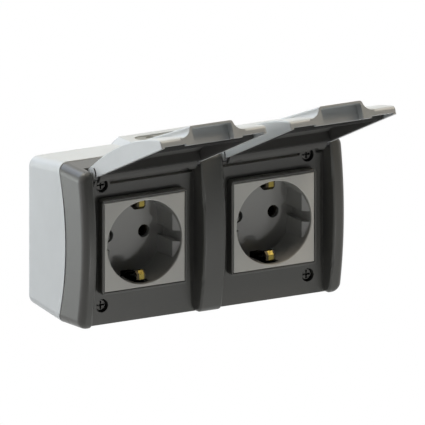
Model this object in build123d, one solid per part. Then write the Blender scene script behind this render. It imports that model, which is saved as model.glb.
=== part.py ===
"""Surface-mounted weatherproof double socket outlet with two hinged lids, held open.

Millimetres. X runs along the pair of sockets, Z is up, the wall is the plane Y = 0 and the
front looks towards -Y. The origin lies on the wall, midway between the two sockets. Each lid
is modelled closed, about its own hinge pin, and then swung open to its stop.
"""
from build123d import *
from math import sqrt
import os

# Outline of the whole housing at its widest
outline_width = 139.3
outline_height = 75.7
outline_corner_radius = 4.7

# Back box, narrower at the wall than at the parting line
box_side_taper = 0.8
box_top_taper = 3.5
box_bottom_taper = 2.5
box_front_step = 0.25
box_wall = 2.4
box_back_edge_radius = 2.0

# Parting line between box and frame, bowed forwards at mid height
parting_depth = 35.55
parting_radius = 103.0
parting_gap = 0.7

# Front frame
frame_draft = 0.65
frame_wall = 2.4
frame_edge_radius = 3.3
channel_edge_radius = 1.2
panel_depth = 42.4
panel_thickness = 2.4
window_run = 8.0
crown_height = 9.7
crown_radius = 168.0
crown_centre_z = 1.5
core_width = 3.0
core_end_wall = 4.8
pocket_top_wall = 2.0

# Socket modules
module_pitch = 67.9
module_z = 0.0
channel_width = 56.2
plate_size = 42.2
plate_thickness = 2.4
plate_edge_radius = 0.4
plate_fit = 0.2
collar_height = 4.1
collar_wall = 1.1
collar_corner_radius = 1.8
collar_edge_radius = 0.45

# Plug recess
well_diameter = 39.1
well_depth = 17.5
well_wall = 1.3
well_floor = 2.5
pin_pitch = 19.0
pin_hole_diameter = 5.9
guide_flat_distance = 16.5
guide_slot_width = 5.0
guide_slot_depth = 1.0
guide_lead_start = 1.0
guide_lead_end = 3.6
clip_slot_width = 7.6
clip_slot_start = 2.4
clip_slot_reach = 12.8
strap_slot_play = 0.5
strap_slot_depth = 2.2

# Contact base behind each recess
base_width = 40.0
base_height = 39.6
base_back = 8.0
base_corner_radius = 2.0
base_screw_x = 16.8
base_screw_z = 16.3
base_screw_diameter = 3.0
base_screw_head_diameter = 4.8
base_screw_head_height = 1.8
base_screw_length = 22.0
base_screw_slot_width = 0.8
base_screw_slot_depth = 0.9
base_pilot_floor = 0.6
standoff_diameter = 6.6
thread_play = 0.02

# Contacts
sleeve_bore = 4.9
sleeve_wall = 0.8
sleeve_length = 12.0
sleeve_slit = 0.8
terminal_size = 7.0
terminal_screw_diameter = 3.0
terminal_screw_head = 4.2
terminal_screw_length = 5.0
earth_screw_length = 6.5
terminal_head_height = 1.6
terminal_slot_width = 0.7
terminal_slot_depth = 0.7
terminal_head_rise = 2.0
wire_hole_diameter = 3.2
wire_hole_drop = 0.9
terminal_wall = 1.2
sleeve_recess = 0.3
sleeve_root = 2.0
contact_clearance = 0.15
strap_width = 4.6
strap_thickness = 0.8
clip_crest = 14.4
clip_front = 3.4
clip_run = 2.4
clip_lip = 2.2
clip_lean = 2.6

# Frame screws
screw_from_socket = 20.05
screw_z = 28.3
screw_counterbore_diameter = 6.2
screw_counterbore_depth = 3.9
screw_head_diameter = 5.5
screw_head_height = 2.3
screw_shank_diameter = 3.4
screw_length = 17.0
screw_cross_width = 0.8
screw_cross_length = 3.8
screw_cross_depth = 1.4
screw_crown_radius = 0.5
screw_pilot_floor = 3.0
post_diameter = 8.0
post_seat_gap = 0.3
screw_boss_diameter = 8.6
screw_boss_length = 5.0
screw_hole_play = 0.2

# Gasket between box and frame
seal_inset = 0.6
seal_width = 1.2
seal_thickness = 1.2
seal_clearance = 0.05

# Cable entry in the top of the box
boss_top_width = 43.3
boss_flank = 4.9
boss_rise = 3.05
boss_back = 1.0
entry_length = 34.0
entry_width = 6.6
entry_back = 8.3
entry_ledge = 1.1
boss_foot_drop = 0.6
boss_flank_share = 0.42
boss_flank_drop = 1.5
boss_front_clear = 1.0
membrane_thickness = 1.4
membrane_sink = 0.4
membrane_fit = 0.1
cup_diameter = 4.0
cup_pitch = 9.2
cup_depth = 0.5

# Wall fixing holes
fixing_side_inset = 8.85
fixing_end_inset = 14.85
fixing_hole_diameter = 4.8

# Lids, as closed
lid_width = 55.4
lid_end_clear = 3.45
lid_below_hinge = 4.2
lid_rim_gap = 1.1
lid_crown_height = 9.05
lid_crown_radius = 140.0
lid_crown_centre = 28.0
lid_wall = 1.6
lid_edge_radius = 0.6
lid_end_radius = 2.1
lid_lip_rise = 0.8
lid_open_angle = 114.5

# Hinge
hinge_depth = 45.8
hinge_below_top = 2.15
roll_below_top = 0.15
roll_radius = 4.6
roll_play = 0.4
ear_thickness = 1.9
ear_disc_radius = 3.6
ear_slot_width = 0.8
ear_slot_reach = 2.0
screw_notch_width = 6.6
screw_notch_roof = 2.6
pin_diameter = 2.5
pin_running_gap = 0.05
pin_seat_gap = 0.02
pin_seat_depth = 3.0
pin_end_play = 0.3
pocket_below_hinge = 7.1
neck_sink = 0.6
hook_depth = 2.0

# Finger grip on each lid
grip_top_width = 22.4
grip_foot_width = 33.6
grip_level = 8.6
grip_skin = 1.0
grip_top_radius = 1.4
grip_pocket_width = 20.8
grip_pocket_depth = 4.6
grip_back_wall = 1.2
grip_pocket_radius = 1.2
grip_foot_inset = 2.0
grip_end_sink = 0.3
grip_rear_flank = 1.6
grip_spread = 0.457
grip_flank_sag = 1.1

# Liner and gasket in each lid
liner_side_gap = 0.5
liner_floor_gap = 0.1
liner_wall = 1.6
liner_floor = 1.2
liner_end_setback = 9.6
liner_top_setback = 4.4
gasket_width = 0.8
gasket_height = 1.0
gasket_proud = 0.2
liner_roll_play = 0.4

# Places worked out from the sizes above
box_back_width = outline_width - 2 * box_side_taper
box_back_top = outline_height / 2 - box_top_taper
box_back_foot = -outline_height / 2 + box_bottom_taper
boss_level = box_back_top + boss_rise
fixing_pitch_x = box_back_width - 2 * fixing_side_inset
fixing_pitch_z = box_back_top - box_back_foot - 2 * fixing_end_inset
post_width = (outline_width - module_pitch - channel_width) / 2
screw_x = module_pitch / 2 + screw_from_socket
panel_y = -panel_depth
screw_seat_y = panel_y + screw_counterbore_depth
screw_top_y = screw_seat_y - screw_head_height
frame_boss_end_y = screw_seat_y + screw_boss_length
plate_y = panel_y - collar_height
well_floor_y = plate_y + well_depth
cover_back_y = well_floor_y + well_floor
base_front_y = cover_back_y
sleeve_end_y = base_front_y + sleeve_length
terminal_y = (sleeve_end_y - base_back) / 2
base_top = base_height / 2
sleeve_radius = sleeve_bore / 2 + sleeve_wall
hinge_y = -hinge_depth
hinge_z = outline_height / 2 - hinge_below_top
hinge_top = outline_height / 2 - roll_below_top
swing_radius = roll_radius + roll_play
pocket_bottom = hinge_z - pocket_below_hinge
lid_half = lid_width / 2
lid_top = hinge_z - lid_below_hinge
lid_end_z = -outline_height / 2 + lid_end_clear
lid_length = lid_top - lid_end_z
lid_rim_y = panel_y - lid_rim_gap
lid_crown_z = lid_top - lid_crown_centre
lid_crown_axis_y = lid_rim_y - lid_crown_height + lid_crown_radius
ear_inner = lid_half - ear_thickness
roll_half = ear_inner - liner_roll_play
tray_half = lid_half - lid_wall - liner_side_gap
tray_low = lid_end_z + liner_end_setback
tray_high = lid_top - liner_top_setback
liner_cover = lid_wall + liner_floor_gap
crown_axis_y = panel_y - crown_height + crown_radius
parting_axis_y = parting_radius - parting_depth
far = 200.0

# Roundings, held back where a narrow post couldn't carry them
corner_radius = min(outline_corner_radius, 0.65 * post_width)
front_edge_radius = min(frame_edge_radius, 0.45 * post_width)
inner_edge_radius = min(channel_edge_radius, 0.16 * post_width)


def block(x_low, x_high, y_low, y_high, z_low, z_high):
    """A plain box between two corners."""
    centre = Pos((x_low + x_high) / 2, (y_low + y_high) / 2, (z_low + z_high) / 2)
    return centre * Box(abs(x_high - x_low), abs(y_high - y_low), abs(z_high - z_low))


def rod_x(radius, x_low, x_high, y, z):
    """A cylinder along X."""
    return Pos((x_low + x_high) / 2, y, z) * Rot(0, 90, 0) * Cylinder(radius, x_high - x_low)


def rod_y(radius, y_low, y_high, x, z):
    """A cylinder along Y."""
    return Pos(x, (y_low + y_high) / 2, z) * Rot(90, 0, 0) * Cylinder(radius, y_high - y_low)


def rod_z(radius, z_low, z_high, x, y):
    """A cylinder along Z."""
    return Pos(x, y, (z_low + z_high) / 2) * Cylinder(radius, z_high - z_low)


def upright(y, outline):
    """A flat outline drawn in X and Z, placed at depth y."""
    return Plane.XZ.offset(-y) * outline


def side_profile(points, x_low, x_high):
    """A prism along X over a closed outline of (y, z) points."""
    face = Plane.YZ.offset(x_low) * make_face(Polyline(*points, close=True))
    return extrude(face, x_high - x_low)


def in_module(side, solid):
    """Moves a solid from the middle of the box to the left (-1) or right (+1) socket."""
    return Pos(side * module_pitch / 2, 0, 0) * solid


# Outer forms shared by box, frame and gasket


def top_parting_depth():
    """How far from the wall the bowed parting line meets the top and the bottom."""
    half = outline_height / 2
    return parting_depth - (parting_radius - sqrt(parting_radius ** 2 - half ** 2))


def box_section(depth, inset):
    """Outline of the tapered back box at one depth from the wall, drawn in by inset."""
    side_share = 1 - depth / parting_depth
    end_share = 1 - depth / top_parting_depth()
    half_width = outline_width / 2 - box_front_step - (box_side_taper - box_front_step) * side_share
    top = outline_height / 2 - box_top_taper * end_share
    foot = -outline_height / 2 + box_bottom_taper * end_share
    outline = RectangleRounded(2 * (half_width - inset), top - foot - 2 * inset, corner_radius - inset / 2)
    return upright(-depth, Pos(0, (top + foot) / 2) * outline)


def box_form(inset=0.0, back=0.0):
    """The tapered block of the back box, run on forwards past the parting line."""
    return loft(sections=[box_section(back, inset), box_section(parting_depth + 4.0, inset)], ruled=True)


def frame_form(inset=0.0):
    """The block of the front frame, narrowing a little towards the front."""
    back = top_parting_depth() - 4.0
    front = panel_depth + crown_height + 2.0
    draw_in = 2 * frame_draft * (front - back) / (front - parting_depth)
    sections = []
    for depth, less in ((back, 0.0), (front, draw_in)):
        outline = RectangleRounded(outline_width - less - 2 * inset, outline_height - less - 2 * inset,
                                   corner_radius - inset / 2)
        sections.append(upright(-depth, outline))
    return loft(sections=sections, ruled=True)


def parting_bow(extra=0.0):
    """Everything behind the bowed parting surface, or a little in front of it."""
    return rod_x(parting_radius + extra, -far, far, parting_axis_y, 0)


# Back box


def cable_boss():
    """Flat-topped pad on the box, with sloping flanks, that carries the cable entry."""
    half_top = boss_top_width / 2
    half_foot = half_top + boss_flank
    shoulder = box_back_top - boss_foot_drop
    foot = box_back_top - box_wall
    flank = ThreePointArc(
        (half_foot, shoulder),
        (half_top + boss_flank * boss_flank_share, boss_level - boss_flank_drop),
        (half_top, boss_level))
    outline = Polyline((half_foot, shoulder), (half_foot, foot), (0, foot), (0, boss_level), (half_top, boss_level))
    half = make_face(outline + flank)
    half_boss = extrude(upright(-boss_back, half), top_parting_depth() - boss_back - boss_front_clear)
    return half_boss + mirror(half_boss, Plane.YZ)


def entry_slot(length, width, z_low, z_high):
    """A round-ended slot through the cable boss."""
    slot = Pos(0, -entry_back, z_low) * SlotOverall(length, width)
    return extrude(slot, z_high - z_low)


def screw_places():
    """The four frame screws, as (x, z)."""
    return [(sx * screw_x, module_z + sz * screw_z) for sx in (-1, 1) for sz in (-1, 1)]


def base_corners(side):
    """The four corners where a contact base stands on the box, as (x, z)."""
    centre = side * module_pitch / 2
    corners = [(sx * base_screw_x, sz * base_screw_z) for sx in (-1, 1) for sz in (-1, 1)]
    return [(centre + x, module_z + z) for x, z in corners]


def base_screw_places(side):
    """The two corners of a contact base that hold its screws, mirrored between the sockets."""
    centre = side * module_pitch / 2
    return [(x, z) for x, z in base_corners(side) if (x - centre) * (z - module_z) * side < 0]


def fixing_places():
    """The four holes for the wall screws, as (x, z)."""
    return [(sx * fixing_pitch_x / 2, sz * fixing_pitch_z / 2) for sx in (-1, 1) for sz in (-1, 1)]


def box_posts():
    """Posts under the frame screws and standoffs under the contact bases."""
    root = -box_wall + 0.5
    post_front = frame_boss_end_y + post_seat_gap
    posts = [rod_y(post_diameter / 2, post_front, root, x, z) for x, z in screw_places()]
    for side in (-1, 1):
        posts += [rod_y(standoff_diameter / 2, -base_back, root, x, z) for x, z in base_corners(side)]
    return posts


def box_drills():
    """Pilot holes for the screws and through holes for the wall screws."""
    frame_pilot = screw_shank_diameter / 2 + thread_play
    base_pilot = base_screw_diameter / 2 + thread_play
    frame_floor = -box_wall - screw_pilot_floor
    base_floor = -box_wall - base_pilot_floor
    drills = [rod_y(frame_pilot, -far, frame_floor, x, z) for x, z in screw_places()]
    for side in (-1, 1):
        drills += [rod_y(base_pilot, -far, base_floor, x, z) for x, z in base_screw_places(side)]
    drills += [rod_y(fixing_hole_diameter / 2, -far, 1.0, x, z) for x, z in fixing_places()]
    return drills


def back_box():
    shell = box_form()
    back_edges = shell.edges().filter_by(lambda edge: abs(edge.center().Y) < 0.01)
    shell = fillet(back_edges, box_back_edge_radius)
    shell = (shell + cable_boss()) & parting_bow()
    solid = shell - box_form(box_wall, box_wall) + box_posts() - box_drills()
    seat_depth = membrane_thickness + membrane_sink
    entry = entry_slot(entry_length, entry_width, boss_level - seat_depth, boss_level + 1.0)
    throat = entry_slot(entry_length - 2 * entry_ledge, entry_width - 2 * entry_ledge,
                        box_back_top - box_wall - 3.0, boss_level)
    return solid - entry - throat


def cable_entry_membrane():
    """Soft round-ended insert lying on the ledge of the cable entry."""
    low = boss_level - membrane_sink - membrane_thickness
    top = low + membrane_thickness
    plate = entry_slot(entry_length - 2 * membrane_fit, entry_width - 2 * membrane_fit, low, top)
    cups = [rod_z(cup_diameter / 2, top - cup_depth, boss_level, step * cup_pitch, -entry_back)
            for step in (-1, 0, 1)]
    return plate - cups


def frame_seal():
    """Soft gasket ring along the parting line, let into the back edge of the frame."""
    outer = frame_form(seal_inset + seal_clearance)
    inner = frame_form(seal_inset + seal_width - seal_clearance)
    front = parting_bow(seal_thickness - seal_clearance)
    return ((outer - inner) & front) - parting_bow(seal_clearance)


# Front frame


def channel_span(side):
    """The left and right limits of the channel that a lid closes into."""
    centre = side * module_pitch / 2
    return centre - channel_width / 2, centre + channel_width / 2


def frame_blank():
    """The crowned outer form of the frame with its rounded front edges."""
    blank = frame_form() & rod_x(crown_radius, -far, far, crown_axis_y, crown_centre_z)
    crown = blank.faces().sort_by(Axis.Y)[0]
    return fillet(crown.edges(), front_edge_radius)


def channel(side):
    """The space in front of the panel, and the deeper pocket for the hinge roll."""
    low, high = channel_span(side)
    front = block(low, high, -far, panel_y, -far, far)
    pocket = block(low, high, -far, hinge_y + swing_radius, pocket_bottom, far)
    return front + pocket


def collar(side):
    """The raised lip round a cover plate."""
    outer = plate_size + 2 * (plate_fit + collar_wall)
    outline = RectangleRounded(outer, outer, collar_corner_radius)
    lip = extrude(upright(panel_y + 0.5, outline), collar_height + 0.5)
    front = lip.faces().sort_by(Axis.Y)[0]
    lip = fillet(front.edges(), collar_edge_radius)
    return in_module(side, Pos(0, 0, module_z) * lip)


def window(side):
    """The square opening that a cover plate fills."""
    half = plate_size / 2 + plate_fit
    hole = block(-half, half, -far, panel_y + panel_thickness + window_run, -half, half)
    return in_module(side, Pos(0, 0, module_z) * hole)


def hollow_of_frame():
    """The space inside the frame, with cores up into the posts and the rib."""
    behind = panel_y + panel_thickness
    body = frame_form(frame_wall)
    inside = body & block(-far, far, behind, 0, -far, far)
    crown = rod_x(crown_radius - frame_wall, -far, far, crown_axis_y, crown_centre_z)
    post_middle = channel_span(1)[1] + post_width / 2 - frame_draft / 2
    reach = outline_height / 2 - core_end_wall
    for x in (-post_middle, 0, post_middle):
        core = block(x - core_width / 2, x + core_width / 2, -far, behind + 1, -reach, reach)
        inside += core & crown & body
    return inside


def pocket_backing(side):
    """The wall behind the hinge pocket."""
    low, high = channel_span(side)
    back = hinge_y + swing_radius + frame_wall
    top = outline_height / 2 - pocket_top_wall
    return block(low - 1, high + 1, panel_y + 0.5, back, pocket_bottom - frame_wall, top)


def is_channel_edge(edge):
    """Whether an edge is a long crowned edge between a channel wall and a post or the rib."""
    if edge.length < outline_height / 2:
        return False
    middle = edge.center()
    limits = [limit for side in (-1, 1) for limit in channel_span(side)]
    on_wall = min(abs(middle.X - limit) for limit in limits) < 0.01
    return on_wall and middle.Y < panel_y - 1.0


def hinge_seats(side):
    """Room for the turning roll of a lid, and the holes that hold its pin."""
    low, high = channel_span(side)
    reach = pin_seat_depth + pin_end_play
    room = rod_x(swing_radius, low, high, hinge_y, hinge_z)
    return room + rod_x(pin_diameter / 2 + pin_seat_gap, low - reach, high + reach, hinge_y, hinge_z)


def front_frame():
    solid = frame_blank() - parting_bow(parting_gap) - hollow_of_frame()
    solid = solid + pocket_backing(-1) + pocket_backing(1) - channel(-1) - channel(1)
    solid = fillet(solid.edges().filter_by(is_channel_edge), inner_edge_radius)
    for x, z in screw_places():
        solid = solid + rod_y(screw_boss_diameter / 2, panel_y, frame_boss_end_y, x, z)
    for side in (-1, 1):
        solid = solid + collar(side) - window(side) - hinge_seats(side)
    for x, z in screw_places():
        solid = solid - rod_y(screw_counterbore_diameter / 2, -far, screw_seat_y, x, z)
        solid = solid - rod_y(screw_shank_diameter / 2 + screw_hole_play, -far, 0, x, z)
    groove = frame_form(seal_inset) - frame_form(seal_inset + seal_width)
    return solid - (groove & parting_bow(seal_thickness))


def frame_screws():
    """Four cross-recessed screws that hold the frame to the box."""
    screws = []
    for x, z in screw_places():
        head = rod_y(screw_head_diameter / 2, screw_top_y, screw_seat_y, x, z)
        crown = head.faces().sort_by(Axis.Y)[0]
        head = fillet(crown.edges(), screw_crown_radius)
        for wide, tall in ((screw_cross_length, screw_cross_width), (screw_cross_width, screw_cross_length)):
            head = head - block(x - wide / 2, x + wide / 2, screw_top_y - 1, screw_top_y + screw_cross_depth,
                                z - tall / 2, z + tall / 2)
        shank = rod_y(screw_shank_diameter / 2, screw_seat_y - 0.2, screw_seat_y + screw_length, x, z)
        screws.append(head + shank)
    return Compound(children=screws)


# Socket cover, contact base and contacts


def recess(depth_from, depth_to, radius):
    """A round space of a socket between two depths behind the plate."""
    return rod_y(radius, plate_y + depth_from, plate_y + depth_to, 0, module_z)


def guide_pad(way):
    """Flat guide inside the recess on the left (-1) or right (+1), with a sloped lead-in."""
    reach = (well_diameter + well_wall) / 2
    foot = well_floor_y + 0.5
    points = [(guide_flat_distance, plate_y + guide_lead_end), (guide_flat_distance, foot), (reach, foot),
              (reach, plate_y + guide_lead_start), (well_diameter / 2, plate_y + guide_lead_start)]
    face = make_face(Polyline(*[(way * x, y) for x, y in points], close=True))
    pad = Pos(0, 0, module_z - well_diameter / 2) * extrude(face, well_diameter)
    pad = pad & recess(0, well_depth + 0.5, reach)
    slot = block(way * (guide_flat_distance - guide_slot_depth), way * (well_diameter / 2), plate_y, well_floor_y,
                 module_z - guide_slot_width / 2, module_z + guide_slot_width / 2)
    return pad - (slot & recess(0, well_depth, well_diameter / 2))


def clip_openings(way):
    """Slot in the wall of the recess for an earth clip, and the slot in its floor for the strap."""
    outer = module_z + way * (plate_size / 2 + 1)
    slot = block(-clip_slot_width / 2, clip_slot_width / 2, plate_y + clip_slot_start, cover_back_y + 1,
                 module_z + way * clip_slot_reach, outer)
    half = strap_width / 2 + strap_slot_play
    floor_slot = block(-half, half, well_floor_y - 1, cover_back_y + 1,
                       module_z + way * (well_diameter / 2 - strap_slot_depth), outer)
    return (slot & recess(0, well_depth, well_diameter / 2 + well_wall + 1)) + floor_slot


def socket_cover(side):
    """Square plate and round plug recess, one moulding."""
    plate = extrude(upright(plate_y + plate_thickness, Rectangle(plate_size, plate_size)), plate_thickness)
    front = plate.faces().sort_by(Axis.Y)[0]
    plate = Pos(0, 0, module_z) * fillet(front.edges(), plate_edge_radius)
    cup = recess(plate_thickness / 2, well_depth + well_floor, well_diameter / 2 + well_wall)
    solid = plate + cup - recess(-1, well_depth, well_diameter / 2)
    circles = solid.edges().filter_by(GeomType.CIRCLE)
    solid = fillet(circles.filter_by(lambda edge: abs(edge.center().Y - plate_y) < 0.01), plate_edge_radius)
    for way in (-1, 1):
        solid = solid + guide_pad(way)
    for way in (-1, 1):
        pin_hole = rod_y(pin_hole_diameter / 2, well_floor_y - 1, cover_back_y + 1, way * pin_pitch / 2, module_z)
        solid = solid - pin_hole - clip_openings(way)
    return in_module(side, solid)


def contact_base(side):
    """Insulating block that carries the contacts behind the recess."""
    outline = RectangleRounded(base_width, base_height, base_corner_radius)
    solid = extrude(upright(-base_back, outline), -base_front_y - base_back)
    solid = Pos(0, 0, module_z) * solid
    block_half = terminal_size / 2 + contact_clearance
    head_radius = terminal_screw_head / 2 + contact_clearance
    for way in (-1, 1):
        x = way * pin_pitch / 2
        solid = solid - rod_y(sleeve_radius + contact_clearance, base_front_y - 1, sleeve_end_y, x, module_z)
        solid = solid - block(x - block_half, x + block_half, sleeve_end_y, -base_back + 1,
                              module_z - block_half, module_z + block_half)
        solid = solid - rod_z(head_radius, module_z, far, x, terminal_y)
    earth_floor = module_z + base_top - earth_screw_length - 1.0
    solid = solid - rod_z(terminal_screw_diameter / 2 + thread_play, earth_floor, far, 0, terminal_y)
    solid = in_module(side, solid)
    for x, z in base_screw_places(side):
        solid = solid - rod_y(base_screw_diameter / 2 + screw_hole_play, -far, 0, x, z)
    return solid


def pin_contact(side, way):
    """Slit brass sleeve with its terminal block, for one pin of the plug."""
    x = way * pin_pitch / 2
    start = base_front_y + sleeve_recess
    tube = rod_y(sleeve_radius, start, sleeve_end_y + 0.5, x, module_z)
    tube = tube - rod_y(sleeve_bore / 2, start - 1, sleeve_end_y, x, module_z)
    slit = block(x - sleeve_slit / 2, x + sleeve_slit / 2, start - 1, sleeve_end_y - sleeve_root,
                 module_z - sleeve_radius - 1, module_z + sleeve_radius + 1)
    half = terminal_size / 2
    terminal = block(x - half, x + half, sleeve_end_y, -base_back - contact_clearance,
                     module_z - half, module_z + half)
    thread = rod_z(terminal_screw_diameter / 2 + thread_play, module_z - 1, far, x, terminal_y)
    wire_hole = rod_y(wire_hole_diameter / 2, sleeve_end_y + terminal_wall, 0, x, module_z - wire_hole_drop)
    return in_module(side, tube - slit + terminal - thread - wire_hole)


def terminal_screw(x, seat, length):
    """One slotted terminal screw standing along Z, its head on the given level."""
    head = rod_z(terminal_screw_head / 2, seat, seat + terminal_head_height, x, terminal_y)
    slot_floor = seat + terminal_head_height - terminal_slot_depth
    half_slot = terminal_slot_width / 2
    slot = block(x - half_slot, x + half_slot, terminal_y - far, terminal_y + far, slot_floor, seat + far)
    shank = rod_z(terminal_screw_diameter / 2, seat - length, seat + 0.2, x, terminal_y)
    return head - slot + shank


def terminal_screws(side):
    """The line, neutral and earth terminal screws of one socket."""
    line_seat = module_z + terminal_size / 2 + terminal_head_rise
    earth_seat = module_z + base_top + strap_thickness
    screws = [terminal_screw(-pin_pitch / 2, line_seat, terminal_screw_length),
              terminal_screw(0, earth_seat, earth_screw_length),
              terminal_screw(pin_pitch / 2, line_seat, terminal_screw_length)]
    return Compound(children=[in_module(side, screw) for screw in screws])


def base_screws(side):
    """Two screws through the contact base into the box."""
    screws = []
    top = base_front_y - base_screw_head_height
    half_slot = base_screw_slot_width / 2
    for x, z in base_screw_places(side):
        head = rod_y(base_screw_head_diameter / 2, top, base_front_y, x, z)
        slot = block(x - far, x + far, top - 1, top + base_screw_slot_depth, z - half_slot, z + half_slot)
        shank = rod_y(base_screw_diameter / 2, base_front_y - 0.2, base_front_y + base_screw_length, x, z)
        screws.append(head - slot + shank)
    return Compound(children=screws)


def strap_leg(way):
    """Half of the earth strap, up (+1) or down (-1), ending in its clip, as (y, z) points."""
    back = -base_back
    outer = base_top + strap_thickness
    tip = plate_y + clip_front
    crest = tip + clip_run
    lean = well_floor_y - 5.0
    bend = well_floor_y - 2.0
    thick = strap_thickness
    points = [(back + thick, 0), (back + thick, outer), (cover_back_y - 0.2, outer), (bend, base_top - 0.6),
              (lean, clip_crest + clip_lean), (crest + 1.0, clip_crest + thick),
              (tip + thick, clip_crest + clip_lip), (tip + thick, base_top - 1.2), (tip, base_top - 1.2),
              (tip, clip_crest + clip_lip - 0.6), (crest - 0.8, clip_crest), (crest + 0.8, clip_crest),
              (lean, clip_crest + clip_lean - thick), (bend + 0.3, base_top - 0.6 - thick),
              (cover_back_y, base_top), (back, base_top), (back, 0)]
    return [(y, module_z + way * z) for y, z in points]


def earth_strap(side):
    """One bent brass strip: a leg along the top and the bottom of the base, each ending in a clip."""
    upper = side_profile(strap_leg(1), -strap_width / 2, strap_width / 2)
    lower = side_profile(strap_leg(-1), -strap_width / 2, strap_width / 2)
    hole = rod_z(terminal_screw_diameter / 2 + contact_clearance, module_z, far, 0, terminal_y)
    return in_module(side, upper + lower - hole)


# Lids, drawn closed


def turned(angle, solid):
    """Turns a solid about the hinge axis."""
    return Pos(0, hinge_y, hinge_z) * Rot(angle, 0, 0) * Pos(0, -hinge_y, -hinge_z) * solid


def lid_profile(inset, z_low, z_high, x_half, rim_y):
    """Crowned slab of a closed lid between two heights, its outer surface drawn in by inset."""
    crown = rod_x(lid_crown_radius - inset, -far, far, lid_crown_axis_y, lid_crown_z)
    return crown & block(-x_half, x_half, -far, rim_y, z_low, z_high)


def hinge_disc(radius, x_low, x_high, inset):
    """D-shaped disc round the hinge pin, trimmed at the top of the lid and by its crown."""
    disc = rod_x(radius, x_low, x_high, hinge_y, hinge_z)
    return disc & lid_profile(inset, -far, hinge_top - inset, lid_width, far)


def pin_bore():
    """Running hole for the hinge pin."""
    return rod_x(pin_diameter / 2 + pin_running_gap, -far, far, hinge_y, hinge_z)


def grip_section(z, half_top, half_foot, foot_level):
    """Section of the finger grip across the lid, with hollowed flanks."""
    foot_y = lid_rim_y - foot_level
    top_y = lid_rim_y - grip_level
    base_y = foot_y + grip_skin
    middle_x = (half_top + half_foot) / 2 - grip_flank_sag
    middle_y = (foot_y + top_y) / 2 + grip_flank_sag
    edges = [ThreePointArc((half_foot, foot_y), (middle_x, middle_y), (half_top, top_y)),
             Line((half_top, top_y), (-half_top, top_y)),
             ThreePointArc((-half_top, top_y), (-middle_x, middle_y), (-half_foot, foot_y)),
             Line((-half_foot, foot_y), (-half_foot, base_y)),
             Line((-half_foot, base_y), (half_foot, base_y)),
             Line((half_foot, base_y), (half_foot, foot_y))]
    face = make_face(Wire([line.edge() for line in edges]))
    crest = [corner for corner in face.vertices() if abs(corner.Y - top_y) < 0.01]
    return Pos(0, 0, z) * fillet(crest, grip_top_radius)


def grip_form():
    """Raised finger grip that runs out into the crown of the lid."""
    run = lid_crown_z - sqrt(2 * lid_crown_radius * (lid_crown_height - grip_level)) - lid_end_z
    end_level = lid_crown_height - (lid_crown_z - lid_end_z) ** 2 / (2 * lid_crown_radius)
    front = grip_section(lid_end_z, grip_top_width / 2, grip_foot_width / 2, end_level - grip_end_sink)
    half_rear = grip_top_width / 2 + grip_spread * run
    rear = grip_section(lid_end_z + run, half_rear, half_rear + grip_rear_flank, grip_level - grip_rear_flank)
    return loft(sections=[front, rear], ruled=True)


def lid_blank():
    """Crowned block of a lid with a rounded end, rounded long edges and the finger grip."""
    blank = lid_profile(0, lid_end_z, hinge_top, lid_half, lid_rim_y)
    across = blank.edges().filter_by(Axis.X)
    nose = [e for e in across if abs(e.center().Z - lid_end_z) < 0.01 and e.center().Y < lid_rim_y - 1]
    blank = fillet(nose, lid_end_radius)
    along = blank.edges().filter_by(lambda e: e.length > lid_length / 2 and e.center().Y < lid_rim_y - 2)
    blank = fillet(along.filter_by(lambda e: abs(abs(e.center().X) - lid_half) < 0.01), lid_edge_radius)
    return blank + grip_form()


def grip_pocket():
    """Hollow under the grip that a finger reaches into, open at the end of the lid."""
    half = grip_pocket_width / 2
    pocket = block(-half, half, lid_rim_y - grip_level + grip_skin, far, lid_end_z - 5, lid_end_z + grip_pocket_depth)
    return fillet(pocket.edges().filter_by(Axis.Z).sort_by(Axis.Y)[:2], grip_pocket_radius)


def grip_pocket_wall():
    """Wall that closes the finger pocket off from the inside of the lid."""
    half = grip_pocket_width / 2 + grip_back_wall
    back = lid_end_z + grip_pocket_depth + grip_back_wall
    return block(-half, half, lid_rim_y - grip_level + grip_skin / 2, lid_rim_y - 0.5, lid_end_z + 0.8, back)


def end_lip_relief():
    """The step that lifts the end wall off the rim, left out at the side walls and at the grip."""
    inner = lid_half - lid_wall
    grip_half = grip_foot_width / 2 - grip_foot_inset
    whole = block(-inner, inner, lid_rim_y - lid_lip_rise, far, lid_end_z - 5, lid_end_z + lid_wall)
    return whole - block(-grip_half, grip_half, -far, far, lid_end_z - 5, lid_end_z + 5)


def ear_slot(way):
    """Curved slot round the hinge disc of one ear, which lets the ear spring over its pin."""
    x_low, x_high = sorted((way * ear_inner, way * (lid_half + 1)))
    ring = rod_x(ear_disc_radius + ear_slot_width, x_low, x_high, hinge_y, hinge_z)
    ring = ring - rod_x(ear_disc_radius, x_low, x_high, hinge_y, hinge_z)
    return ring & block(x_low, x_high, hinge_y - ear_slot_reach, far, -far, hinge_z)


def lid_shell_closed():
    """Light outer shell of a lid: crown, side walls, ears on the hinge, and the finger grip."""
    inner = lid_half - lid_wall
    shell = lid_blank() - lid_profile(lid_wall, lid_end_z + lid_wall, lid_top, inner, far)
    shell = shell + grip_pocket_wall() - grip_pocket() - end_lip_relief()
    shell = shell - lid_profile(lid_wall, lid_top - hook_depth, hinge_top + 1, ear_inner, far)
    for way in (-1, 1):
        x_low, x_high = sorted((way * ear_inner, way * lid_half))
        shell = shell + hinge_disc(ear_disc_radius, x_low, x_high, 0) - ear_slot(way)
    return shell - pin_bore()


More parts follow.
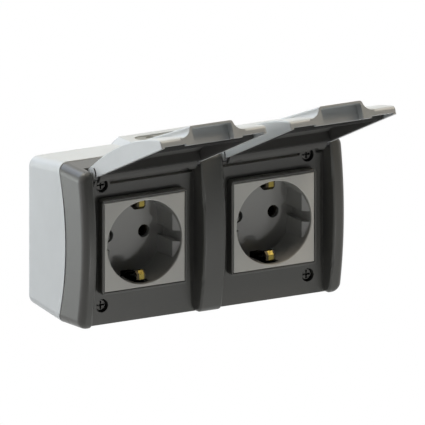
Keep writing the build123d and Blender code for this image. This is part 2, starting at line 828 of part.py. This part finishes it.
def screw_notches():
    """Arched notches in the roll, so that a screwdriver reaches the frame screws past an open lid."""
    half = screw_notch_width / 2
    spring = hinge_z - screw_notch_roof - half
    front = hinge_y - roll_radius - 0.5
    notches = [rod_y(half, front, far, step * screw_from_socket, spring)
               + block(step * screw_from_socket - half, step * screw_from_socket + half, front, far, -far, spring)
               for step in (-1, 1)]
    return [turned(lid_open_angle, notch) for notch in notches]


def tray_ring(outset, y_low, y_high, width):
    """Rectangular ring on the rim of the tray, set in from its outer walls."""
    outer = block(-tray_half + outset, tray_half - outset, y_low, y_high, tray_low + outset, tray_high - outset)
    more = outset + width
    inner = block(-tray_half + more, tray_half - more, y_low - 1, y_high + 1, tray_low + more, tray_high - more)
    return outer - inner


def lid_liner_closed():
    """Dark inner tray of a lid, with the roll that turns in the pocket of the frame."""
    tray = lid_profile(liner_cover, tray_low, tray_high, tray_half, lid_rim_y)
    hollow = lid_profile(liner_cover + liner_floor, tray_low + liner_wall, tray_high - liner_wall,
                         tray_half - liner_wall, far)
    neck = lid_profile(liner_cover, tray_high - liner_wall, lid_top, roll_half, lid_rim_y - neck_sink)
    roll = hinge_disc(roll_radius, -roll_half, roll_half, liner_cover)
    solid = tray - hollow + neck + roll - screw_notches()
    groove_floor = lid_rim_y + gasket_proud - gasket_height
    groove = tray_ring((liner_wall - gasket_width) / 2, groove_floor, lid_rim_y + 1, gasket_width)
    return solid - groove - pin_bore()


def lid_gasket_closed():
    """Soft bead let into the rim of the tray, standing a little proud of it."""
    front = lid_rim_y + gasket_proud
    return tray_ring((liner_wall - gasket_width) / 2, front - gasket_height, front, gasket_width)


def hinge_pin(side):
    """Steel rod held in the post and the rib, on which a lid turns."""
    low, high = channel_span(side)
    return rod_x(pin_diameter / 2, low - pin_seat_depth, high + pin_seat_depth, hinge_y, hinge_z)


def build():
    pieces = {
        "back_box": back_box(),
        "cable_entry_membrane": cable_entry_membrane(),
        "frame_seal": frame_seal(),
        "front_frame": front_frame(),
        "frame_screws": frame_screws(),
    }
    lid_pieces = {
        "lid_shell": lid_shell_closed(),
        "lid_liner": lid_liner_closed(),
        "lid_gasket": lid_gasket_closed(),
    }
    for name, side in (("left_", -1), ("right_", 1)):
        pieces[name + "socket_cover"] = socket_cover(side)
        pieces[name + "contact_base"] = contact_base(side)
        pieces[name + "earth_strap"] = earth_strap(side)
        pieces[name + "pin_contact_a"] = pin_contact(side, -1)
        pieces[name + "pin_contact_b"] = pin_contact(side, 1)
        pieces[name + "terminal_screws"] = terminal_screws(side)
        pieces[name + "base_screws"] = base_screws(side)
        pieces[name + "hinge_pin"] = hinge_pin(side)
        for piece, closed in lid_pieces.items():
            pieces[name + piece] = in_module(side, turned(-lid_open_angle, closed))
    return pieces


os.makedirs("parts", exist_ok=True)
for node, solid in build().items():
    export_step(solid, os.path.join("parts", node + ".step"))
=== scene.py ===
"""Outdoor double socket outlet with both lids held open, dressed and lit for its picture.

Metres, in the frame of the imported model: X along the pair of sockets, +Y into the wall, +Z up.
"""
import bpy
from math import cos, radians, sin
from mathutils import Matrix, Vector

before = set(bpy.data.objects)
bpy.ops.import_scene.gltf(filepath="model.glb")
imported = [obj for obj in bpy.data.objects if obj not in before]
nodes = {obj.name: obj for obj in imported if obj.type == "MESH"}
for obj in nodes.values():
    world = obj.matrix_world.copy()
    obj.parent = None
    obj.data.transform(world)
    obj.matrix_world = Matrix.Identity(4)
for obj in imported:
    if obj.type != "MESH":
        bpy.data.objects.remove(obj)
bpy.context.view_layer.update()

mm = 0.001

# Camera: parallel view, from the left and a little above
view_azimuth = -29.8
view_elevation = 15.2
view_width = 193.6 * mm
view_aim = Vector((1.6 * mm, -46.5 * mm, 9.15 * mm))
view_distance = 1.2
view_nearest = 0.01
view_farthest = 20

# Room
white = (1.0, 1.0, 1.0)
room_light = 0.01
floor_place = (0, 2, -0.32)
floor_size = 12
floor_grey = (0.5, 0.5, 0.5)
floor_roughness = 0.9
card_place = (0.3, -1.3, 1.22)
card_size = 2.4
card_black = (0.01, 0.01, 0.01)
plain_lamp_spread = 180

# Finishes, as linear colours
box_grey = (0.60, 0.63, 0.64)
frame_grey = (0.108, 0.110, 0.103)
cover_grey = (0.72, 0.72, 0.685)
# Painted shade: the cover's own grey darkened for the inside of its round recess
recess_painted_shade = (0.43, 0.435, 0.426)
liner_grey = (0.10, 0.10, 0.096)
seal_black = (0.012, 0.012, 0.012)
grommet_grey = (0.27, 0.28, 0.26)
brass_yellow = (0.17, 0.135, 0.035)
# Brass darkened with painted shade: the sides of the earth clips, and the pin contacts deep in
# their holes
brass_painted_shade = (0.035, 0.03, 0.02)
steel_grey = (0.55, 0.55, 0.56)
# Screw steel darkened with painted shade, for the shadow in their counterbores
screw_painted_shade_grey = (0.06, 0.06, 0.057)
slot_shade = (0.012, 0.012, 0.013)
insulator_black = (0.03, 0.03, 0.03)

# Patterns in the finishes: features to the metre, fineness, and the middle range of a pattern
cloud_scale = 40
cloud_detail = 3
grain_detail = 2
streak_scale = 900
streak_detail = 3
pattern_low = 0.3
pattern_high = 0.7

# Plastic: change of shade and gloss, light bending, and rounding of its edges
shade_change = 0.04
gloss_change = 0.05
plastic_ior = 1.48
plastic_edge_radius = 0.3 * mm

# Metal: shade of its streaks, change of gloss, and depth and rounding
streak_darkness = 0.88
streak_smoother = 0.06
streak_rougher = 0.08
streak_depth = 0.01 * mm
metal_edge_radius = 0.15 * mm
edge_samples = 6

# Directions in which a metal was drawn
drawn_along_x = (0.1, 1, 1)
drawn_along_y = (1, 0.1, 1)
drawn_along_z = (1, 1, 0.2)

# Middle of a socket, the band of its earth clips left unshaded between sides darkened with painted
# shade, and the front face of its plate, behind which painted shade darkens the recess
socket_offset = 33.95 * mm
lit_band_offset = 0.35 * mm
lit_band_half_width = 1.1 * mm
lit_band_fade = 0.35 * mm
plate_face = -46.5 * mm
recess_fade = 1.5 * mm

# Hinge of a lid, and the slot round its disc
hinge_place = (0, -45.8 * mm, 35.7 * mm)
lid_open_angle = 114.5
ear_slot_inner = 3.58 * mm
ear_slot_outer = 4.7 * mm
ear_slot_reach = 2.05 * mm
far_away = 1.0


def shader_node(tree, kind, **settings):
    """New node of a kind, with its settings."""
    node = tree.nodes.new("ShaderNode" + kind)
    for setting, value in settings.items():
        setattr(node, setting, value)
    return node


def feed(tree, socket, value):
    """Gives a socket another node's output, a colour or a number."""
    if isinstance(value, bpy.types.NodeSocket):
        tree.links.new(value, socket)
    elif socket.type == "RGBA":
        socket.default_value = (*value, 1)
    else:
        socket.default_value = value


def new_material(name):
    """Node material with its shader."""
    material = bpy.data.materials.new(name)
    material.use_nodes = True
    tree = material.node_tree
    return material, tree, tree.nodes["Principled BSDF"]


def own_place(tree):
    """Place on the piece, in its own coordinates."""
    return shader_node(tree, "TexCoord").outputs["Object"]


def axes_of(tree, place):
    """The X, Y and Z of a place."""
    axes = shader_node(tree, "SeparateXYZ")
    feed(tree, axes.inputs["Vector"], place)
    return axes.outputs


def calculate(tree, operation, *values):
    """One step of arithmetic."""
    step = shader_node(tree, "Math", operation=operation)
    for socket, value in zip(step.inputs, values):
        feed(tree, socket, value)
    return step.outputs[0]


def remap(tree, value, from_low, from_high, to_low=0.0, to_high=1.0):
    """Moves a value from one range to another, and holds it there."""
    span = shader_node(tree, "MapRange")
    feed(tree, span.inputs["Value"], value)
    span.inputs["From Min"].default_value = from_low
    span.inputs["From Max"].default_value = from_high
    span.inputs["To Min"].default_value = to_low
    span.inputs["To Max"].default_value = to_high
    return span.outputs["Result"]


def between(tree, value, low, high):
    """One where a value lies between two limits, else nothing."""
    above = calculate(tree, "GREATER_THAN", value, low)
    below = calculate(tree, "LESS_THAN", value, high)
    return calculate(tree, "MULTIPLY", above, below)


def noise(tree, place, scale, detail):
    """Fine cloudy pattern over the piece."""
    texture = shader_node(tree, "TexNoise")
    feed(tree, texture.inputs["Vector"], place)
    texture.inputs["Scale"].default_value = scale
    texture.inputs["Detail"].default_value = detail
    return texture.outputs["Fac"]


def spread(tree, pattern, low, high):
    """Values between low and high that follow a pattern."""
    return remap(tree, pattern, pattern_low, pattern_high, low, high)


def mix_colours(tree, factor, first, second):
    """Colour between two others."""
    mix = shader_node(tree, "Mix", data_type="RGBA")
    feed(tree, mix.inputs["Factor"], factor)
    feed(tree, mix.inputs["A"], first)
    feed(tree, mix.inputs["B"], second)
    return mix.outputs["Result"]


def recolour(tree, shader, factor, colour):
    """Lays another colour over a finish where the factor is one."""
    base = shader.inputs["Base Color"]
    below = base.links[0].from_socket
    tree.links.new(mix_colours(tree, factor, below, colour), base)


def relief(tree, shader, pattern, depth, edge_radius):
    """Surface grain over a tiny rounding along every edge of the piece."""
    edge = shader_node(tree, "Bevel", samples=edge_samples)
    edge.inputs["Radius"].default_value = edge_radius
    bump = shader_node(tree, "Bump")
    bump.inputs["Strength"].default_value = 1.0
    bump.inputs["Distance"].default_value = depth
    tree.links.new(pattern, bump.inputs["Height"])
    tree.links.new(edge.outputs["Normal"], bump.inputs["Normal"])
    tree.links.new(bump.outputs["Normal"], shader.inputs["Normal"])


def moulded_plastic(name, colour, roughness, grain_size, grain_depth, ior=plastic_ior,
                    edge_radius=plastic_edge_radius):
    """Spark-eroded plastic skin: a fine grain, small changes of shade and of gloss."""
    material, tree, shader = new_material(name)
    place = own_place(tree)
    cloud = spread(tree, noise(tree, place, cloud_scale, cloud_detail), 0, 1)
    dark = [c * (1 - shade_change) for c in colour]
    light = [c * (1 + shade_change) for c in colour]
    feed(tree, shader.inputs["Base Color"], mix_colours(tree, cloud, dark, light))
    grain = noise(tree, place, 1 / grain_size, grain_detail)
    gloss = spread(tree, grain, roughness - gloss_change, roughness + gloss_change)
    feed(tree, shader.inputs["Roughness"], gloss)
    relief(tree, shader, grain, grain_depth, edge_radius)
    shader.inputs["IOR"].default_value = ior
    return material


def worked_metal(name, colour, roughness, drawn):
    """Rolled or plated metal with fine drawn streaks."""
    material, tree, shader = new_material(name)
    stretch = shader_node(tree, "Mapping")
    stretch.inputs["Scale"].default_value = drawn
    feed(tree, stretch.inputs["Vector"], own_place(tree))
    streak = noise(tree, stretch.outputs["Vector"], streak_scale, streak_detail)
    dark = [c * streak_darkness for c in colour]
    shade = mix_colours(tree, spread(tree, streak, 0, 1), dark, colour)
    feed(tree, shader.inputs["Base Color"], shade)
    gloss = spread(tree, streak, roughness - streak_smoother, roughness + streak_rougher)
    feed(tree, shader.inputs["Roughness"], gloss)
    relief(tree, shader, streak, streak_depth, metal_edge_radius)
    shader.inputs["Metallic"].default_value = 1.0
    return material


def cover_finish():
    """Smooth plastic, with painted shade that darkens it in the round recess behind the plate's
    face.
    """
    material = moulded_plastic("cover_plastic", cover_grey, roughness=0.22,
                               grain_size=0.4 * mm, grain_depth=0.002 * mm)
    tree = material.node_tree
    depth = axes_of(tree, own_place(tree))["Y"]
    # Painted shade: the recess darkened behind the plate's face
    inside = remap(tree, depth, plate_face, plate_face + recess_fade)
    recolour(tree, tree.nodes["Principled BSDF"], inside, recess_painted_shade)
    return material


def lid_finish():
    """Lid plastic, with deep shade on the walls of the narrow slots round its hinge discs."""
    material = moulded_plastic("lid_plastic", box_grey, roughness=0.36, grain_size=0.35 * mm,
                               grain_depth=0.008 * mm, edge_radius=0.18 * mm)
    tree = material.node_tree
    from_hinge = shader_node(tree, "VectorMath", operation="SUBTRACT")
    feed(tree, from_hinge.inputs[0], own_place(tree))
    from_hinge.inputs[1].default_value = hinge_place
    shut = shader_node(tree, "VectorRotate", rotation_type="X_AXIS")
    feed(tree, shut.inputs["Vector"], from_hinge.outputs["Vector"])
    shut.inputs["Angle"].default_value = radians(lid_open_angle)
    axes = axes_of(tree, shut.outputs["Vector"])
    across = shader_node(tree, "CombineXYZ")
    feed(tree, across.inputs["Y"], axes["Y"])
    feed(tree, across.inputs["Z"], axes["Z"])
    distance = shader_node(tree, "VectorMath", operation="LENGTH")
    feed(tree, distance.inputs[0], across.outputs["Vector"])
    ring = between(tree, distance.outputs["Value"], ear_slot_inner, ear_slot_outer)
    below = between(tree, axes["Z"], -far_away, 0.0)
    behind = between(tree, axes["Y"], -ear_slot_reach, far_away)
    quarter = calculate(tree, "MULTIPLY", below, behind)
    slot = calculate(tree, "MULTIPLY", ring, quarter)
    recolour(tree, tree.nodes["Principled BSDF"], slot, slot_shade)
    return material


def clip_finish(name, middle):
    """Brass strip whose sides are darkened with painted shade, leaving a band along its middle in
    the brass's own colour.
    """
    material = worked_metal(name, brass_yellow, roughness=0.3, drawn=drawn_along_y)
    tree = material.node_tree
    sideways = axes_of(tree, own_place(tree))["X"]
    off_middle = calculate(tree, "SUBTRACT", sideways, middle + lit_band_offset)
    away = calculate(tree, "ABSOLUTE", off_middle)
    # Painted shade on the clip's sides, away from its unshaded middle band
    shaded_sides = remap(tree, away, lit_band_half_width, lit_band_half_width + lit_band_fade)
    recolour(tree, tree.nodes["Principled BSDF"], shaded_sides, brass_painted_shade)
    return material


def finish_nodes(material, *names):
    """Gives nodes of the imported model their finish."""
    for name in names:
        data = nodes[name].data
        data.materials.clear()
        data.materials.append(material)


def dress_nodes():
    """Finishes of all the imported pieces."""
    box_plastic = moulded_plastic("box_plastic", box_grey, roughness=0.42,
                                  grain_size=0.35 * mm, grain_depth=0.012 * mm)
    frame_plastic = moulded_plastic("frame_plastic", frame_grey, roughness=0.32,
                                    grain_size=0.3 * mm, grain_depth=0.006 * mm, ior=1.4)
    liner_plastic = moulded_plastic("liner_plastic", liner_grey, roughness=0.5,
                                    grain_size=0.3 * mm, grain_depth=0.01 * mm, ior=1.35)
    insulator = moulded_plastic("insulator_plastic", insulator_black, roughness=0.5,
                                grain_size=0.4 * mm, grain_depth=0.015 * mm)
    seal_rubber = moulded_plastic("seal_rubber", seal_black, roughness=0.7,
                                  grain_size=0.25 * mm, grain_depth=0.02 * mm)
    grommet_rubber = moulded_plastic("grommet_rubber", grommet_grey, roughness=0.6,
                                     grain_size=0.25 * mm, grain_depth=0.02 * mm)
    # Pin contacts in brass darkened with painted shade, for the shade deep in their holes
    sleeve_brass = worked_metal("brass_painted_shade", brass_painted_shade, roughness=0.5,
                                drawn=drawn_along_y)
    steel = worked_metal("plated_steel", steel_grey, roughness=0.28, drawn=drawn_along_x)
    # Screws darkened with painted shade for the shadow in their counterbores
    screw_steel = worked_metal("screws_in_painted_shade", screw_painted_shade_grey, roughness=0.4, drawn=drawn_along_z)
    cover_plastic = cover_finish()
    lid_plastic = lid_finish()

    finish_nodes(box_plastic, "back_box")
    finish_nodes(frame_plastic, "front_frame")
    finish_nodes(seal_rubber, "frame_seal")
    finish_nodes(grommet_rubber, "cable_entry_membrane")
    finish_nodes(screw_steel, "frame_screws")
    for side, middle in (("left_", -socket_offset), ("right_", socket_offset)):
        finish_nodes(cover_plastic, side + "socket_cover")
        finish_nodes(insulator, side + "contact_base")
        finish_nodes(clip_finish(side + "clip_brass", middle), side + "earth_strap")
        finish_nodes(sleeve_brass, side + "pin_contact_a", side + "pin_contact_b")
        finish_nodes(steel, side + "terminal_screws", side + "base_screws", side + "hinge_pin")
        finish_nodes(lid_plastic, side + "lid_shell")
        finish_nodes(liner_plastic, side + "lid_liner")
        finish_nodes(seal_rubber, side + "lid_gasket")


def seen_directly(tree):
    """One for camera, glossy and transmission rays, else nothing."""
    rays = shader_node(tree, "LightPath").outputs
    seen = calculate(tree, "MAXIMUM", rays["Is Camera Ray"], rays["Is Glossy Ray"])
    return calculate(tree, "MAXIMUM", seen, rays["Is Transmission Ray"])


def choose_shader(tree, factor, first, second, output):
    """First shader where the factor is nothing, second where it is one."""
    mix = shader_node(tree, "MixShader")
    feed(tree, mix.inputs["Fac"], factor)
    tree.links.new(first, mix.inputs[1])
    tree.links.new(second, mix.inputs[2])
    tree.links.new(mix.outputs["Shader"], output.inputs["Surface"])


def floor():
    """Plain pale floor well below the wall box: seen as white, with the object's shadow."""
    bpy.ops.mesh.primitive_plane_add(size=floor_size, location=floor_place)
    plane = bpy.context.object
    plane.name = "floor"
    material, tree, shader = new_material("floor_white")
    feed(tree, shader.inputs["Base Color"], floor_grey)
    shader.inputs["Roughness"].default_value = floor_roughness
    plain = shader_node(tree, "Emission")
    feed(tree, plain.inputs["Color"], white)
    plain.inputs["Strength"].default_value = 1.0
    choose_shader(tree, seen_directly(tree), shader.outputs["BSDF"], plain.outputs["Emission"],
                  tree.nodes["Material Output"])
    plane.data.materials.append(material)


def dark_card():
    """Black studio card in front, above the horizon, that the camera doesn't see."""
    bpy.ops.mesh.primitive_plane_add(size=card_size, location=card_place,
                                     rotation=(radians(90), 0, 0))
    card = bpy.context.object
    card.name = "dark_card"
    material, tree, shader = new_material("card_black")
    feed(tree, shader.inputs["Base Color"], card_black)
    shader.inputs["Roughness"].default_value = 1.0
    card.data.materials.append(material)
    card.visible_camera = False
    card.visible_shadow = False


def room():
    """Faint even light from all round, plain white where it is seen."""
    studio = bpy.data.worlds.new("studio")
    bpy.context.scene.world = studio
    studio.use_nodes = True
    tree = studio.node_tree
    tree.nodes.clear()
    shades = []
    for strength in (room_light, 1.0):
        shade = shader_node(tree, "Background")
        feed(tree, shade.inputs["Color"], white)
        shade.inputs["Strength"].default_value = strength
        shades.append(shade.outputs["Background"])
    choose_shader(tree, seen_directly(tree), *shades, shader_node(tree, "OutputWorld"))


def soft_light(name, place, size, watts, colour, spread_angle=plain_lamp_spread):
    """Square soft box aimed at the object."""
    data = bpy.data.lights.new(name, "AREA")
    data.shape = "SQUARE"
    data.size = size
    data.energy = watts
    data.color = colour
    data.spread = radians(spread_angle)
    lamp = bpy.data.objects.new(name, data)
    bpy.context.scene.collection.objects.link(lamp)
    lamp.visible_camera = False
    lamp.location = place
    lamp.rotation_euler = (view_aim - Vector(place)).to_track_quat("-Z", "Y").to_euler()


def lights():
    """Large soft boxes behind, at the left and above, and two small lamps low in front."""
    soft_light("left_box", place=(-0.80, 0.95, -0.20), size=0.9, watts=8.8,
               colour=(0.94, 1.0, 0.98))
    soft_light("left_side", place=(-1.2, 0.2, 0.1), size=0.8, watts=3.1,
               colour=(1.0, 0.93, 0.96))
    soft_light("top_box", place=(-0.2, 0.45, 1.2), size=0.9, watts=2.3,
               colour=(1.0, 0.97, 0.87), spread_angle=70)
    soft_light("back_high", place=(-0.3, 1.0, 0.7), size=0.8, watts=4.9,
               colour=(0.63, 0.76, 1.0))
    soft_light("high_right", place=(0.6, -0.35, 1.0), size=0.5, watts=5.4,
               colour=(1.0, 0.86, 0.70))
    soft_light("low_key", place=(0.20, -0.74, -0.275), size=0.05, watts=0.55,
               colour=(1.0, 0.99, 0.97))
    soft_light("low_fill", place=(0.08, -0.17, -0.26), size=0.22, watts=0.1,
               colour=(0.95, 1.0, 0.98))


def camera():
    """Parallel camera at the photograph's angle."""
    data = bpy.data.cameras.new("camera")
    data.type = "ORTHO"
    data.ortho_scale = view_width
    data.clip_start = view_nearest
    data.clip_end = view_farthest
    eye = bpy.data.objects.new("camera", data)
    bpy.context.scene.collection.objects.link(eye)
    turn, rise = radians(view_azimuth), radians(view_elevation)
    back = Vector((sin(turn) * cos(rise), -cos(turn) * cos(rise), sin(rise)))
    eye.location = view_aim + back * view_distance
    eye.rotation_euler = (-back).to_track_quat("-Z", "Y").to_euler()
    bpy.context.scene.camera = eye


dress_nodes()
floor()
dark_card()
room()
lights()
camera()
bpy.context.scene.view_settings.view_transform = "Standard"
